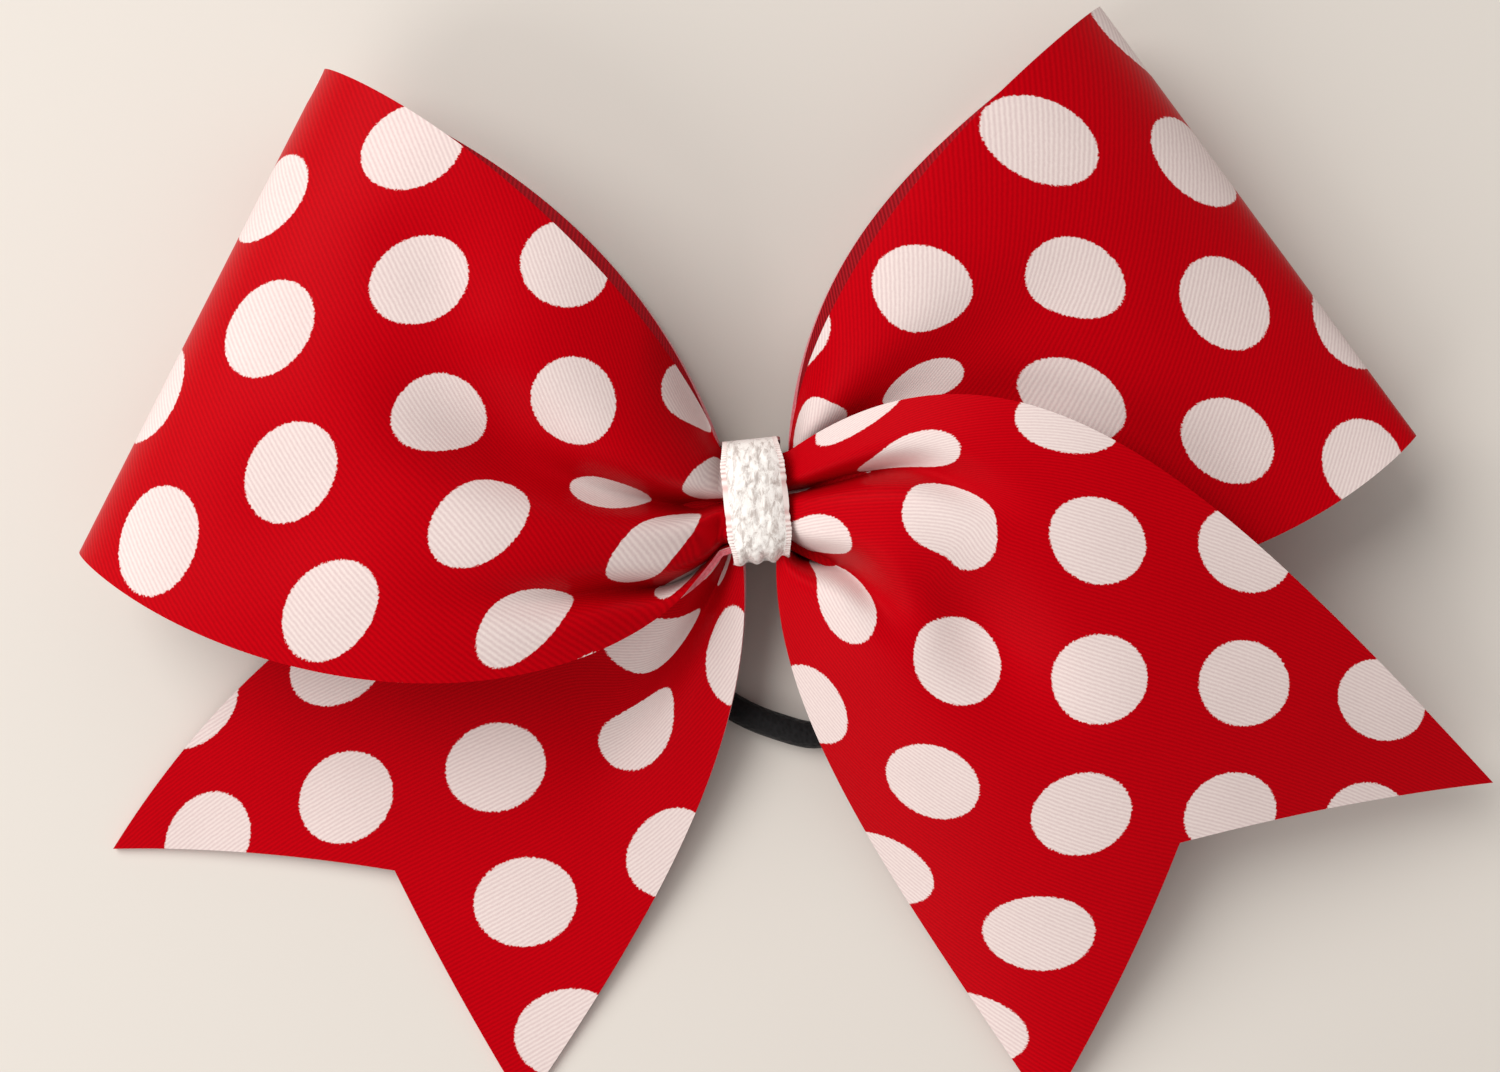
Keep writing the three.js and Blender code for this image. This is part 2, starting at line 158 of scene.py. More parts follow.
def printed_satin(name, phase):
    """Red satin with white dots. phase is the ribbon measure of one dot's centre, in mm."""
    material, shader = new_material(
        name, Roughness=0.42, Sheen_Weight=0.02, Sheen_Roughness=0.5, Sheen_Tint=linear("FF6870"),
        Specular_IOR_Level=0.16, Specular_Tint=linear("FF5058"))
    uv = node(material, "ShaderNodeUVMap", {"uv_map": "ribbon"})
    centred = node(material, "ShaderNodeVectorMath", {"operation": "SUBTRACT"}, i0=uv,
                   i1=(phase[0] * MM, phase[1] * MM, 0))
    turned = node(material, "ShaderNodeVectorRotate", {"rotation_type": "Z_AXIS"},
                  Vector=centred, Angle=math.radians(DOT_ANGLE))
    cells = node(material, "ShaderNodeVectorMath", {"operation": "SCALE"}, i0=turned,
                 Scale=1 / (DOT_PITCH * MM))
    shifted = node(material, "ShaderNodeVectorMath", {"operation": "ADD"}, i0=cells,
                   i1=(0.5, 0.5, 0))
    within = node(material, "ShaderNodeVectorMath", {"operation": "FRACTION"}, i0=shifted)
    offset = node(material, "ShaderNodeVectorMath", {"operation": "SUBTRACT"}, i0=within,
                  i1=(0.5, 0.5, 0))
    distance = node(material, "ShaderNodeVectorMath", {"operation": "LENGTH"}, i0=offset)
    # The ink's edge follows the threads, so the radius wanders by about a thread's width.
    ragged = node(material, "ShaderNodeTexNoise", Vector=uv, Scale=INK_STEPS_PER_MM / MM, Detail=2.0)
    wander = node(material, "ShaderNodeMapRange", Value=ragged, From_Min=0.3, From_Max=0.7,
                  To_Min=-INK_WANDER, To_Max=INK_WANDER)
    reach = node(material, "ShaderNodeMath", {"operation": "ADD"}, i0=(distance, "Value"), i1=wander)
    radius = DOT_DIAMETER / 2 / DOT_PITCH
    dot = node(material, "ShaderNodeMapRange", {"interpolation_type": "SMOOTHSTEP"}, Value=reach,
               From_Min=radius + INK_BLUR, From_Max=radius - INK_BLUR)

    # Twill: fine ridges across the ribbon's diagonal, broken up by uneven threads.
    twill_turn = node(material, "ShaderNodeVectorRotate", {"rotation_type": "Z_AXIS"},
                      Vector=uv, Angle=math.radians(TWILL_ANGLE))
    twill = node(material, "ShaderNodeTexWave", {"bands_direction": "X"}, Vector=twill_turn,
                 Scale=wave_scale(TWILL_PITCH), Distortion=1.2, Detail=2.0, Detail_Scale=1.5)
    thread = node(material, "ShaderNodeTexNoise", Vector=uv, Scale=THREADS_PER_MM / MM, Detail=3.0)
    mottle = node(material, "ShaderNodeTexNoise", Vector=uv, Scale=DYE_PATCHES_PER_MM / MM, Detail=3.0)
    weave = node(material, "ShaderNodeMix", {"data_type": "FLOAT"}, i0=0.45, i2=(twill, "Fac"),
                 i3=thread)
    # Painted shade, in part: the twill's grooves take the shaded colours, and the uneven threads vary
    # them at random.
    red = node(material, "ShaderNodeMix", {"data_type": "RGBA"}, i0=weave,
               i6=linear(RED_SHADE), i7=linear(RED))
    white = node(material, "ShaderNodeMix", {"data_type": "RGBA"}, i0=weave,
                 i6=linear(DOT_SHADE), i7=linear(DOT_WHITE))
    tone = node(material, "ShaderNodeMix", {"data_type": "RGBA"}, i0=dot, i6=(red, 2), i7=(white, 2))
    uneven = node(material, "ShaderNodeMapRange", Value=mottle, To_Min=0.94, To_Max=1.05)
    shade = node(material, "ShaderNodeVectorMath", {"operation": "SCALE"}, i0=(tone, 2), Scale=uneven)
    connect(material, shade, shader, "Base Color")
    bump = node(material, "ShaderNodeBump", Height=(weave, 0), Strength=0.35, Distance=0.06 * MM)
    connect(material, bump, shader, "Normal")
    return material


# %% [markdown]
# Grosgrain is a ribbed weave: fat weft cords run straight across the ribbon and make ribs about
# 1 mm apart, with a dull surface. The cut edges of both plies are heat-sealed and show a pale
# pink fuzz, because the satin's undyed threads end there.

# %% Grosgrain and cut edges
RIB_PITCH = 0.9
FUZZ_PER_MM = 2.2
FRAY_PER_MM = 1.8


def grosgrain(name):
    material, shader = new_material(
        name, Roughness=0.82, Sheen_Weight=0.35, Sheen_Roughness=0.5, Sheen_Tint=linear("FF7078"),
        Specular_IOR_Level=0.25)
    uv = node(material, "ShaderNodeUVMap", {"uv_map": "ribbon"})
    ribs = node(material, "ShaderNodeTexWave", {"bands_direction": "X"}, Vector=uv,
                Scale=wave_scale(RIB_PITCH), Distortion=0.4, Detail=1.0)
    fuzz = node(material, "ShaderNodeTexNoise", Vector=uv, Scale=FUZZ_PER_MM / MM, Detail=3.0)
    height = node(material, "ShaderNodeMix", {"data_type": "FLOAT"}, i0=0.3, i2=(ribs, "Fac"), i3=fuzz)
    # Painted shade, in part: the grooves between ribs are darker red, and the fuzz varies the tone at
    # random.
    red = node(material, "ShaderNodeMix", {"data_type": "RGBA"}, i0=height,
               i6=linear("8E0010"), i7=linear("C4081C"))
    connect(material, (red, 2), shader, "Base Color")
    bump = node(material, "ShaderNodeBump", Height=height, Strength=0.6, Distance=0.15 * MM)
    connect(material, bump, shader, "Normal")
    return material


def cut_edge(name):
    material, shader = new_material(name, Roughness=0.9, Sheen_Weight=0.4, Specular_IOR_Level=0.2)
    place = node(material, "ShaderNodeTexCoord")
    fray = node(material, "ShaderNodeTexNoise", Vector=(place, "Object"), Scale=FRAY_PER_MM / MM,
                Detail=3.0)
    pink = node(material, "ShaderNodeMix", {"data_type": "RGBA"}, i0=fray,
                i6=linear("BE1830"), i7=linear("E08C96"))
    connect(material, (pink, 2), shader, "Base Color")
    bump = node(material, "ShaderNodeBump", Height=fray, Strength=0.7, Distance=0.2 * MM)
    connect(material, bump, shader, "Normal")
    return material


lining_material = grosgrain("red_grosgrain")
edge_material = cut_edge("heat_sealed_edge")

# %% [markdown]
# Each lobe of the bow is a sheet between two long edges. The edges are cubic curves from the
# knot to the fold, or to the cut end of a tail. A loop could be a bent tube, but real ribbon
# keeps its width and puts what it can't spread into pleats at the knot, so the surface is a
# formula: edge curves give the outline, a rounded profile gives the loop's fullness, and
# valleys that fan out of the knot give the pleats.

# %% Curves and easing
def ease(x, low=0.0, high=1.0):
    t = np.clip((np.asarray(x, float) - low) / (high - low), 0, 1)
    return t * t * (3 - 2 * t)


def mix(a, b, t):
    return a + (b - a) * t


def bezier(points, t):
    """Points of a cubic curve at each t."""
    p = [np.array(q, float) for q in points]
    t = np.asarray(t, float)[..., None]
    return (p[0] * (1 - t) ** 3 + 3 * p[1] * (1 - t) ** 2 * t
            + 3 * p[2] * (1 - t) * t**2 + p[3] * t**3)


def valley(across, centre, width, depth):
    """One valley of a pleat pattern, running down the sheet at a share of its width."""
    return -depth * np.exp(-(((across - centre) / width) ** 2))


# %% Ribbon and knot sizes
RIBBON_WIDTH = 76.2
PRINT_THICKNESS = 0.4
LINING_THICKNESS = 0.5
PLY_GAP = 0.02
FOLD_HEIGHT = 15.4  # of a loop's folded edge above the table
TABLE_GAP = 0.6  # under a loop's rear panel
LAYER_MIDDLE = [
    (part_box(name)[0].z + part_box(name)[1].z) / 2 / MM
    for name in ("gather_rear", "gather_middle", "gather_front")
]
REAR_POWER = 1.2
LOWEST = REAR_POWER / (REAR_POWER + 0.5)  # share of the reach where a rear panel lies lowest
print("layers in the knot at", [round(z, 1) for z in LAYER_MIDDLE], "mm")

# %% [markdown]
# A loop's sheet starts inside the wrap, runs over the front, turns at the fold and comes back
# along the rear. "signed" walks that way from about 1 to about -1, with 0 at the fold: the square
# root shape that it gives near 0 is what makes the fold round. Past 1 the sheet is inside the
# knot, and its rows run straight to the middle.

# %% The loops' surface
INSIDE = 0.06  # how far past 1 the signed measure goes inside the knot
REAR_PEEK = 3.0  # of a rear panel, past the front panel's upper edge
PLEAT_START = 0.08  # share of a lobe at which its pleats are deepest
WANDER_END = 0.28  # share of a lobe at which its pleats stop wandering
FLAT_EDGES = 0.12  # how much less full a loop is at its edges

# A fold is (centre at the wrap, centre further out, half width, depth in mm, reach), and a dent
# is (place along, place across, half length, half width, depth in mm). Places, widths and reaches
# are shares of the lobe. Edge points are (x, y) in mm.
LEFT_LOOP = {
    "side": -1, "front_layer": 2, "fullness": (35.0, 35.0),
    "top": [(-5, 7), (-13, 26), (-36, 49), (-60.7, 60.7)],
    "bottom": [(-5, -7.5), (-22, -32), (-66, -30), (-95.3, -7.4)],
    "peek": (0.33, 0.95),
    "folds": [(0.5, 0.5, 0.07, 8.5, 0.72), (0.93, 0.8, 0.05, 7, 0.6), (0, 0, 0.16, 4, 0.3)],
    "dents": [(0.5, 0.44, 0.17, 0.11, 5), (0.66, 0.22, 0.12, 0.12, 2), (0.75, 0.75, 0.12, 0.14, 1.6)],
}
RIGHT_LOOP = {
    "side": 1, "front_layer": 1, "fullness": (35.0, 12.0),
    "top": [(5, 7), (7, 30), (26, 50), (48.4, 69.5)],
    "bottom": [(5, -7), (25, -18), (68, -16), (93.2, 9)],
    "peek": (-0.48, 0.87),
    "folds": [(0.36, 0.36, 0.1, 5, 0.85), (0, 0, 0.12, 2, 0.3), (0.72, 0.72, 0.08, 2, 0.4)],
    "dents": [(0.5, 0.5, 0.16, 0.13, 2.8)],
}
REAR_FOLDS = [(0.5, 0.5, 0.12, 1.6, 0.5), (0.85, 0.85, 0.08, 1, 0.35)]


def fade(share, reach):
    """Pleat depth along a lobe: half depth at the wrap, full just outside it, none past reach."""
    return (0.5 + 0.5 * ease(share, 0, PLEAT_START)) * (1 - ease(share, PLEAT_START, reach))


def creases(folds, share, across):
    """Valleys that leave the wrap at one share of the width and wander to another."""
    return sum(
        valley(across, mix(start, end, ease(share, 0, WANDER_END)), width, depth) * fade(share, reach)
        for start, end, width, depth, reach in folds
    )


def hollows(dents, share, across):
    """Soft dents in a sheet, each deepest at one place."""
    return sum(
        -depth * np.exp(-(((share - at_share) / long) ** 2) - ((across - at_across) / wide) ** 2)
        for at_share, at_across, long, wide, depth in dents
    )


def shape(lobe, share, across):
    """How far the folds and dents move a lobe's surface, in mm."""
    return creases(lobe["folds"], share, across) + hollows(lobe["dents"], share, across)


def toward_knot(points, edge, inside, side):
    """Moves edge points from a lobe's start to the middle of the knot as inside goes to 1."""
    start = np.array(edge[0][:2], float)
    goal = np.array([side * 0.3, start[1] * 0.8])
    points[..., :2] = mix(points[..., :2], goal, inside[..., None])
    return points


def loop_points(loop, signed, across, pleated=1):
    """Points of a loop. pleated is 0 for the smooth surface without folds and dents."""
    size = np.minimum(np.abs(signed), 1)
    share = 1 - size**2
    inside = np.clip((np.abs(signed) - 1) / INSIDE, 0, 1)
    top = toward_knot(bezier(loop["top"], share), loop["top"], inside, loop["side"])
    bottom = toward_knot(bezier(loop["bottom"], share), loop["bottom"], inside, loop["side"])
    flat = mix(top, bottom, across[..., None])
    front = signed >= 0
    low, high = LAYER_MIDDLE[0], LAYER_MIDDLE[loop["front_layer"]]
    middle = mix((low + high) / 2, FOLD_HEIGHT, ease(share, 0, 0.5))
    pinch = (high - low) / 2 * (1 - share)
    rear_fullness = (FOLD_HEIGHT - TABLE_GAP - (high - low) / 2 * (1 - LOWEST)) / (
        LOWEST**REAR_POWER * math.sqrt(1 - LOWEST)
    )
    fullness = mix(*loop["fullness"], ease(across)) * (1 - FLAT_EDGES * (2 * across - 1) ** 2)
    over = middle + pinch + fullness * share * size + pleated * shape(loop, share, across)
    under = middle - pinch - rear_fullness * share**REAR_POWER * size
    under = under - pleated * creases(REAR_FOLDS, share, across)
    peek = REAR_PEEK * np.sin(math.pi * share) * (1 - across) * ~front
    x = flat[..., 0] + loop["peek"][0] * peek
    y = flat[..., 1] + loop["peek"][1] * peek
    return np.stack([x, y, np.where(front, over, under)], axis=-1)


LINE_SAMPLES = 1200


def even_steps(line, count):
    """Measures for count + 1 rows at even lengths along a sampled line of (measure, point)."""
    measure, points = line
    length = np.concatenate([[0], np.cumsum(np.linalg.norm(np.diff(points, axis=0), axis=1))])
    return np.interp(np.linspace(0, length[-1], count + 1), length, measure)


def loop_rows(loop, count):
    signed = np.linspace(1 + INSIDE, -1 - INSIDE, LINE_SAMPLES)
    return even_steps((signed, loop_points(loop, signed, np.full_like(signed, 0.3))), count)


for name, loop in (("left", LEFT_LOOP), ("right", RIGHT_LOOP)):
    corner = loop_points(loop, np.array([0.0, 0.0]), np.array([0.0, 1.0]))
    print(name, "fold is", round(float(np.linalg.norm(corner[0] - corner[1])), 1), "mm long")

# %% [markdown]
# A tail is a single layer between two edges that have heights of their own. Its far end is cut
# to a V, by making the rows shorter towards the middle of the ribbon. The right tail lies over
# the right loop, and droops past the loop's lower edge, so its height falls late across it.

# %% The tails' surface
TAIL_NOTCH = 0.15  # depth of the V, as a share of the tail's length
LEFT_TAIL = {
    "side": -1, "drape": 1.0,
    "outer": [(-5, 5, 12.9), (-28, 2, 11), (-66, -6, 5), (-94.8, -51.2, 0.7)],
    "inner": [(-1.8, -7.4, 12.9), (0.5, -32, 10), (-12, -57, 1), (-34.1, -89.2, 0.7)],
    "folds": [(0.72, 0.72, 0.07, 3.5, 0.6)],
    "dents": [(0.5, 0.7, 0.12, 0.12, 1.4)],
}
RIGHT_TAIL = {
    "side": 1, "drape": 2.5,
    "outer": [(5, 7, 17.5), (35, 27, 36), (60, 4, 34), (106.2, -40.5, 9)],
    "inner": [(3.2, -7.4, 16.5), (2, -30, 14), (20, -55, 1), (42.9, -89.5, 3)],
    "folds": [(0.4, 0.25, 0.055, 7.5, 0.5), (0.78, 0.62, 0.055, 11, 0.45)],
    "dents": [(0.5, 0.5, 0.13, 0.12, 4.5)],
}


def tail_points(tail, along, across, pleated=1):
    """along runs from -INSIDE inside the knot, through 0 at its side, to 1 at the cut end."""
    inside = np.clip(-along / INSIDE, 0, 1)
    share = np.clip(along, 0, 1) * (1 - TAIL_NOTCH * (1 - np.abs(2 * across - 1)))
    outer = toward_knot(bezier(tail["outer"], share), tail["outer"], inside, tail["side"])
    inner = toward_knot(bezier(tail["inner"], share), tail["inner"], inside, tail["side"])
    points = mix(outer, inner, across[..., None])
    points[..., 2] = mix(inner[..., 2], outer[..., 2], 1 - across ** tail["drape"])
    points[..., 2] += pleated * shape(tail, share, across)
    return points


def tail_rows(tail, count):
    along = np.linspace(-INSIDE, 1, LINE_SAMPLES)
    return even_steps((along, tail_points(tail, along, np.full_like(along, 0.5))), count)


for name, tail in (("left", LEFT_TAIL), ("right", RIGHT_TAIL)):
    tips = tail_points(tail, np.array([1.0, 1.0]), np.array([0.0, 1.0]))
    print(name, "tail tips are", round(float(np.linalg.norm(tips[0] - tips[1])), 1), "mm apart")

# %% [markdown]
# Each ply starts as a flat grid. Its vertices are moved onto the lobe's surface, its UV map is
# set to the ribbon's flat measure, found by adding up lengths along each column, and a Solidify
# modifier gives it its real thickness, outwards for the print and inwards for the lining. The
# rim gets the cut-edge material.

# %% Making a ply
COLUMNS = 96
SMOOTH_ANGLE = 50
EDGE_SLOT = 1  # the cut edge's material slot on a ply
EVEN_HIDING, DEEP_HIDING = 0.08, 0.03  # spare cloth outside the folds, in mm and per mm of depth


def deselect_all():
    bpy.ops.object.select_all(action="DESELECT")


def ribbon_measure(lobe, points_at, rows, across):
    """Lengths along and across the ribbon at each point of a lobe, in mm. The cloth that a row
    is short of lies hidden in its folds, so that a pattern runs into a fold and isn't squeezed."""
    places = np.meshgrid(rows, across, indexing="ij")
    smooth, pleated = points_at(*places, 0), points_at(*places)
    start = np.zeros((1, len(across)))
    steps = np.linalg.norm(np.diff(smooth, axis=0), axis=2)
    along = np.concatenate([start, np.cumsum(steps, axis=0)])
    looped = rows[-1] < 0
    if looped:  # a loop is measured from its fold
        along = along - along[np.argmin(np.abs(rows))]
    share = np.clip(1 - rows**2 if looped else rows, 0, 1)[:, None]
    steps = np.linalg.norm(np.diff(pleated, axis=1), axis=2)
    middles = (across[1:] + across[:-1]) / 2
    depth = -creases(lobe["folds"], share, middles)
    hidden = depth + EVEN_HIDING + DEEP_HIDING * depth.max(axis=1, keepdims=True)
    row = steps.sum(axis=1, keepdims=True)
    spare = np.maximum(RIBBON_WIDTH - row, 0)
    steps = steps * np.minimum(RIBBON_WIDTH / row, 1) + spare * hidden / hidden.sum(
        axis=1, keepdims=True
    )
    first = np.full((len(rows), 1), -RIBBON_WIDTH / 2)
    sideways = np.concatenate([first, first + np.cumsum(steps, axis=1)], axis=1)
    return pleated, along, sideways


def flat_measure(along, sideways, pull):
    """Where cloth at a place on the lobe lies on the flat ribbon. pull is what the hand does to
    the cloth, as (along, sideways) in mm: stretch per 100 mm, slant of the fold or of the pinch
    at the knot, fan of the rows, bow of the rows, and curl per 100 mm."""
    reach, offset = along / 100, sideways / (RIBBON_WIDTH / 2)
    terms = np.stack([reach, offset, reach * offset, offset**2, reach**2], axis=-1)
    return along + terms @ [p[0] for p in pull], sideways + terms @ [p[1] for p in pull]


def surface_grid(lobe, points_at, rows, pull):
    """Points of a lobe's surface on a grid, its length, and its places on the flat ribbon."""
    columns = np.linspace(0, 1, COLUMNS + 1)
    points, along, sideways = ribbon_measure(lobe, points_at, rows, columns)
    length = float((along[-1] - along[0]).mean())
    if rows[-1] > 0:
        return points, length, *flat_measure(along, sideways, pull)
    fold_u = flat_measure(0 * along, sideways, pull)[0]  # the rear panel mirrors the front
    front_u, front_v = flat_measure(-np.abs(along), sideways, pull)
    return points, length, np.where(along > 0, 2 * fold_u - front_u, front_u), front_v


def set_measure(sheet, along, sideways):
    """Stores each vertex's place on the flat ribbon, given in mm, as the UV map "ribbon"."""
    measure = np.stack([along, sideways], axis=1) * MM
    layer = sheet.data.uv_layers[0]
    layer.name = "ribbon"
    corner = np.array([loop.vertex_index for loop in sheet.data.loops])
    layer.data.foreach_set("uv", measure[corner].ravel())


def thicken(sheet, thickness, offset):
    """Gives a sheet its real thickness, and smooth shading but for its cut edges."""
    solid = sheet.modifiers.new("thickness", "SOLIDIFY")
    solid.thickness, solid.offset = thickness * MM, offset
    solid.material_offset_rim = EDGE_SLOT if offset else 0
    bpy.ops.object.modifier_apply(modifier=solid.name)
    bpy.ops.object.shade_smooth_by_angle(angle=math.radians(SMOOTH_ANGLE))


def ply(name, grid, flip, lift, thickness, outward, material):
    """A sheet on a grid of points. flip turns it over, so that the print faces out."""
    points, _, along, sideways = grid
    rows = points.shape[0] - 1
    deselect_all()
    bpy.ops.mesh.primitive_grid_add(x_subdivisions=rows, y_subdivisions=COLUMNS, size=2)
    sheet = bpy.context.active_object
    sheet.name = sheet.data.name = name
    place = np.array([v.co for v in sheet.data.vertices])
    i = np.rint((place[:, 0] + 1) / 2 * rows).astype(int)
    j = np.rint((place[:, 1] + 1) / 2 * COLUMNS).astype(int)
    if flip:
        j = COLUMNS - j
    sheet.data.vertices.foreach_set("co", (points[i, j] * MM).ravel())
    sheet.data.update()
    set_measure(sheet, along[i, j], sideways[i, j])
    if lift:
        normals = np.array([v.normal for v in sheet.data.vertices])
        moved = points[i, j] * MM + normals * lift * MM
        sheet.data.vertices.foreach_set("co", moved.ravel())
        sheet.data.update()
    sheet.data.materials.append(material)
    sheet.data.materials.append(edge_material)
    thicken(sheet, thickness, 1 if outward else -1)
    return sheet


def make_lobe(name, sizes, points_at, rows, flip, pull, dot):
    """Both plies of a lobe: the printed face outside and the lining behind it."""
    grid = surface_grid(sizes, partial(points_at, sizes), rows, pull)
    satin = printed_satin(f"{name}_printed_satin", dot)
    face = ply(f"{name}_satin", grid, flip, 0, PRINT_THICKNESS, True, satin)
    back = ply(f"{name}_lining", grid, flip, -PLY_GAP, LINING_THICKNESS, False, lining_material)
    print(f"{name}: {grid[1]:.0f} mm of ribbon, {len(face.data.polygons)} faces a ply")
    return face, back, grid[1]


# %% The four lobes
# The list is each lobe's pull, and the last pair is the place of one dot's centre, in mm. These
# were not chosen by hand: they come from a fit to where the dots lie on a real bow, and are
# rounded, the pulls to whole millimetres.
LOOP_ROWS, SMALL_LOOP_ROWS, TAIL_ROWS = 190, 180, 110
left_loop = make_lobe(
    "left_loop", LEFT_LOOP, loop_points, loop_rows(LEFT_LOOP, LOOP_ROWS), False,
    [(13, -2), (-5, -1), (0, 1), (4, -1), (-5, 0)], (-3.2, -17.9))
right_loop = make_lobe(
    "right_loop", RIGHT_LOOP, loop_points, loop_rows(RIGHT_LOOP, SMALL_LOOP_ROWS), True,
    [(18, 9), (-11, -3), (2, 2), (4, 3), (-2, -1)], (-18.6, -27.0))
left_tail = make_lobe(
    "left_tail", LEFT_TAIL, tail_points, tail_rows(LEFT_TAIL, TAIL_ROWS), False,
    [(-2, -5), (10, -6), (3, 5), (-5, -1), (-2, -1)], (69.0, -16.4))
right_tail = make_lobe(
    "right_tail", RIGHT_TAIL, tail_points, tail_rows(RIGHT_TAIL, TAIL_ROWS), True,
    [(9, -5), (17, 1), (5, -1), (-4, -3), (-4, -2)], (26.7, -13.5))

# %% [markdown]
# The hair elastic is a knitted tube over a rubber core, 4 mm thick. It is a cord that leaves the
# knot on one side, lies in a loop on the table and goes back in on the other side. A curve with
# a round bevel keeps its length exact, and its route is the one that the frame holds.

# %% Hair elastic
ELASTIC_DIAMETER = 4.0
STITCHES_PER_MM = 1.4
tunnel = (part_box("elastic_joint")[0].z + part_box("elastic_joint")[1].z) / 2 / MM
REST = ELASTIC_DIAMETER / 2 + 0.05
ELASTIC_ROUTE = [
    (3.2, 0, tunnel), (7.5, -0.4, tunnel - 0.2),
    (12, -2.6, 4.4), (16.4, -6.8, 2.6), (18.8, -12.5, REST), (19, -19, REST),
    (17.6, -26, REST), (14.5, -31.6, REST), (9.3, -34.3, REST), (3, -33, REST),
    (-3, -30.4, REST), (-9, -26, REST), (-13, -20, REST), (-14.8, -12.8, REST),
    (-13.6, -7, 2.6), (-10.6, -2.6, 4.4), (-7.5, -0.4, tunnel - 0.2), (-3.2, 0, tunnel),
]


def smooth_line(points, steps):
    """A line through every point, with even tangents, and steps parts between each two."""
    p = np.array([points[0], *points, points[-1]], float)
    t = np.linspace(0, 1, steps, endpoint=False)[:, None]
    parts = [
        0.5 * (2 * p[k] + (p[k + 1] - p[k - 1]) * t
               + (2 * p[k - 1] - 5 * p[k] + 4 * p[k + 1] - p[k + 2]) * t**2
               + (3 * p[k] - p[k - 1] - 3 * p[k + 1] + p[k + 2]) * t**3)
        for k in range(1, len(p) - 2)
    ]
    return np.vstack([*parts, p[-1:]])


def black_knit():
    """Knitted polyester over rubber: matte, with a fine ribbed surface that catches little light."""
    material, shader = new_material("black_knit", Roughness=0.85, Sheen_Weight=0.08,
                                    Specular_IOR_Level=0.3)
    place = node(material, "ShaderNodeTexCoord")
    yarn = node(material, "ShaderNodeTexVoronoi", Vector=(place, "Object"),
                Scale=STITCHES_PER_MM / MM)
    tone = node(material, "ShaderNodeMix", {"data_type": "RGBA"}, i0=yarn,
                i6=linear("040405"), i7=linear("131215"))
    connect(material, (tone, 2), shader, "Base Color")
    bump = node(material, "ShaderNodeBump", Height=yarn, Strength=0.8, Distance=0.25 * MM)
    connect(material, bump, shader, "Normal")
    return material


elastic_line = smooth_line(ELASTIC_ROUTE, 9) * MM
curve = bpy.data.curves.new("hair_elastic_cord", "CURVE")
curve.dimensions = "3D"
spline = curve.splines.new("POLY")
spline.points.add(len(elastic_line) - 1)
spline.points.foreach_set("co", np.column_stack([elastic_line, np.ones(len(elastic_line))]).ravel())
curve.bevel_depth, curve.bevel_resolution = ELASTIC_DIAMETER / 2 * MM, 5
curve.use_fill_caps = True
elastic = bpy.data.objects.new("hair_elastic_cord", curve)
bpy.context.scene.collection.objects.link(elastic)
elastic.data.materials.append(black_knit())

# %% [markdown]
# The wrap is crushed velvet ribbon, 3/8 in wide, with a beaded selvage on each side. It goes
# round the knot once and a little more, and its ends are glued over each other at the back. A
# grid is rolled round a rounded box, its edges are beaded, and puckers are pressed in where the
# cloth under it is uneven.

# %% Velvet wrap
WRAP_WIDTH = 9.5
WRAP_THICKNESS = 0.5
WRAP_TURN = math.radians(6)
WRAP_MEASURE = 62.0  # of the wrap's flat measure once round, a little under its real 66 mm
WRAP_TURNS = 1.06  # the rest is the glued overlap
WRAP_ROWS, WRAP_COLUMNS = 640, 28
WRAP_HALF = 8.55  # from the knot's middle to the wrap's side, along Y
SQUARENESS = 0.42  # of the wrap's section: 1 is an ellipse, and 0 is a rectangle
SEAM_ANGLE = 0.55  # from straight below to the wrap's first end, in radians
TUCK = 1.15  # how far the first end is tucked inside the last
BEAD_PITCH = 0.7
BEAD_OUT, BEAD_UP = 0.16, 0.12  # how far a bead stands out sideways and upwards
SELVAGE_COLUMNS = 2.2
PUCKER_DEPTH, PUCKER_COUNT = 0.35, 6.2
CRUSH_DEPTH = 0.07
PATCHES_PER_MM, PILE_PER_MM = 0.82, 3.2
wrap_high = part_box("centre_wrap")[1] / MM


def wrap_profile(turns):
    """Points (y, z) round the knot. turns runs from 0 to a little over 1, from back to back."""
    angle = -math.pi / 2 - SEAM_ANGLE - turns * 2 * math.pi
    c, s = np.cos(angle), np.sin(angle)
    middle = (wrap_high[2] + 0.3) / 2
    tall = middle - WRAP_THICKNESS / 2
    y = WRAP_HALF * np.sign(c) * np.abs(c) ** SQUARENESS
    z = middle + tall * np.sign(s) * np.abs(s) ** SQUARENESS
    under = 1 - ease(turns, 0.03, 0.09)
    return y, z + TUCK * under


def wrap_points(turns, across):
    y, z = wrap_profile(turns)
    pinch = 1 - 0.14 * ease(np.abs(y), 4.5, 8.5) * ease(z, 9, 15)  # narrower where it is pulled
    x = (across - 0.5) * (WRAP_WIDTH - 0.9) * pinch
    edge = np.maximum(0, 1 - np.minimum(across, 1 - across) * WRAP_COLUMNS / SELVAGE_COLUMNS)
    bead = np.abs(np.sin(turns * WRAP_MEASURE / BEAD_PITCH * math.pi))
    x = x + np.sign(across - 0.5) * BEAD_OUT * bead * edge
    lower = np.exp(-(((y + 8.4) / 1.6) ** 2)) * np.exp(-(((z - 16) / 5) ** 2))
    pucker = PUCKER_DEPTH * lower * np.sin(across * PUCKER_COUNT * math.pi)
    dome = (0.3 - 0.9 * np.abs(2 * across - 1) ** 3) * ease(z, 14, 19)  # the selvages curl under
    crush = CRUSH_DEPTH * np.sin(x * 4.1 + 3 * np.sin(y * 1.3)) * np.sin(z * 2.7 + y * 2.1 + x)
    rise = dome + (crush + BEAD_UP * bead * edge) * ease(z, 9, 16)
    return np.stack([x, y - pucker, z + rise], axis=-1)


